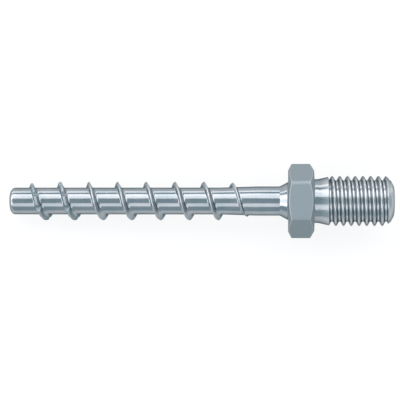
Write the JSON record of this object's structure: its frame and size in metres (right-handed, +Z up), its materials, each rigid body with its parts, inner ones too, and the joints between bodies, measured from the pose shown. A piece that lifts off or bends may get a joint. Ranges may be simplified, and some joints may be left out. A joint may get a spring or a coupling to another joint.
{
  "type": "concrete screw",
  "caption": "Self-cutting concrete screw with a coarse notched thread, a hexagon collar for the spanner and a fine-threaded stud above it",
  "frame": {"origin": "on the screw's axis in the plane of the collar's seat, the face that bears on the fixed part", "axes": "+X along the screw's axis from the anchor tip to the stud's end; +Z up, square to two of the collar's flats, with two of the hexagon's corners at +Y and -Y"},
  "size_m": [0.0759, 0.0144, 0.013],
  "materials": {
    "zinc_plate": "bright zinc plated steel, satin on the collar and bright on the turned and rolled parts"
  },
  "bodies": {
    "root": {"concrete_screw": "zinc_plate"}
  },
  "joints": []
}
